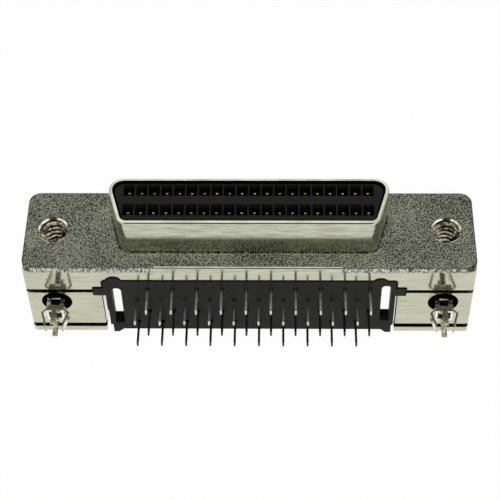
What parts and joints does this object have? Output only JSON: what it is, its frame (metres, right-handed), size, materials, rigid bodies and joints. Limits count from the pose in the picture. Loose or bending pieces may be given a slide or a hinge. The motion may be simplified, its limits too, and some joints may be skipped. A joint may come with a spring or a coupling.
{
  "type": "right-angle d-sub receptacle",
  "caption": "Shielded half-pitch D-sub receptacle for a circuit board, right-angle, with a die-cast housing, threaded screw bushes and spring board locks.",
  "frame": {"origin": "centre of the insulator's mating face, between the two contact rows", "axes": "+Z out of the mating face, +X along the length, -Y towards the circuit board"},
  "size_m": [0.0462, 0.0134, 0.016],
  "materials": {
    "plated_steel": "nickel plated, finely mottled satin",
    "plated_casting": "bright nickel plated",
    "plated_brass": "nickel plated",
    "tinned_spring": "bright tinned",
    "black_plastic": "satin moulded",
    "gold_contact": "gold plated mouth, tinned tail"
  },
  "bodies": {
    "root": {"front_shell": "plated_steel", "insulator": "black_plastic", "tail_comb": "black_plastic", "front_housing": "plated_casting", "rear_housing": "plated_casting", "left_screw_bush": "plated_brass", "right_screw_bush": "plated_brass", "left_board_lock": "tinned_spring", "right_board_lock": "tinned_spring", "contact_near_01": "gold_contact", "contact_near_02": "gold_contact", "contact_near_03": "gold_contact", "contact_near_04": "gold_contact", "contact_near_05": "gold_contact", "contact_near_06": "gold_contact", "contact_near_07": "gold_contact", "contact_near_08": "gold_contact", "contact_near_09": "gold_contact", "contact_near_10": "gold_contact", "contact_near_11": "gold_contact", "contact_near_12": "gold_contact", "contact_near_13": "gold_contact", "contact_near_14": "gold_contact", "contact_near_15": "gold_contact", "contact_near_16": "gold_contact", "contact_near_17": "gold_contact", "contact_near_18": "gold_contact", "contact_near_19": "gold_contact", "contact_near_20": "gold_contact", "contact_far_01": "gold_contact", "contact_far_02": "gold_contact", "contact_far_03": "gold_contact", "contact_far_04": "gold_contact", "contact_far_05": "gold_contact", "contact_far_06": "gold_contact", "contact_far_07": "gold_contact", "contact_far_08": "gold_contact", "contact_far_09": "gold_contact", "contact_far_10": "gold_contact", "contact_far_11": "gold_contact", "contact_far_12": "gold_contact", "contact_far_13": "gold_contact", "contact_far_14": "gold_contact", "contact_far_15": "gold_contact", "contact_far_16": "gold_contact", "contact_far_17": "gold_contact", "contact_far_18": "gold_contact", "contact_far_19": "gold_contact", "contact_far_20": "gold_contact"}
  },
  "joints": []
}
